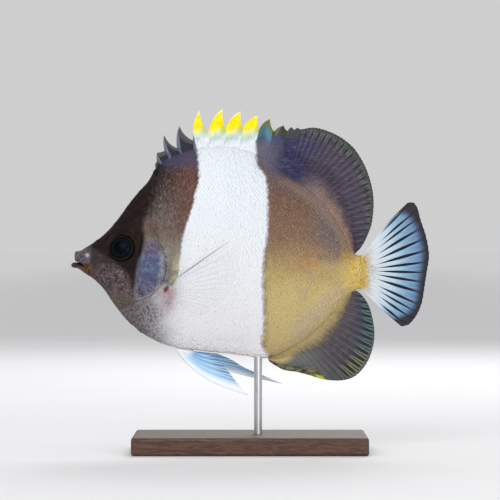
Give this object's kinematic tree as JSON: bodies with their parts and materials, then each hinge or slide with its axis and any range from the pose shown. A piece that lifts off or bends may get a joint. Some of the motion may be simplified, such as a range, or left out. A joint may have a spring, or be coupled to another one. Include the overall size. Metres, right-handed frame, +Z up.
{
  "type": "black pyramid butterflyfish model on stand",
  "caption": "Life-size still model of a black pyramid butterflyfish with a white band and raised yellow dorsal spines, on a rod and a flat base.",
  "frame": {"origin": "middle of the display base's underside, under the middle of the fish's total length", "axes": "+X from the head to the tail, +Y to the fish's right side, +Z up"},
  "size_m": [0.1599, 0.056, 0.153],
  "materials": {
    "head_skin": "satin, dark brown with pale and rust flecks",
    "gill_cover_skin": "satin, lilac blue with fine scales",
    "eye": "glossy, dark blue-green pupil in a darker ring",
    "body_skin": "satin scales, a white band between a brown nape and an olive-gold flank",
    "stalk_skin": "satin, golden yellow",
    "spiny_fin": "satin, white with yellow tips, dark at the front",
    "dark_fin": "satin, slate purple with a clear margin",
    "tail_fin": "satin, pale blue rays with dark navy gaps",
    "clear_fin": "clear and glassy with fine rays",
    "pale_fin": "satin, white spine and pale blue membrane",
    "stand_wood": "satin, dark stained",
    "stand_steel": "fine brushed"
  },
  "bodies": {
    "root": {"head": "head_skin", "lower_jaw": "head_skin", "gill_cover_left": "gill_cover_skin", "gill_cover_right": "gill_cover_skin", "eye_left": "eye", "eye_right": "eye", "trunk": "body_skin", "tail_stalk": "stalk_skin", "dorsal_fin_spiny": "spiny_fin", "dorsal_fin_soft": "dark_fin", "anal_fin": "dark_fin", "caudal_fin": "tail_fin", "pectoral_fin_left": "clear_fin", "pectoral_fin_right": "clear_fin", "pelvic_fin_left": "pale_fin", "pelvic_fin_right": "pale_fin", "stand_base": "stand_wood", "stand_rod": "stand_steel"}
  },
  "joints": []
}
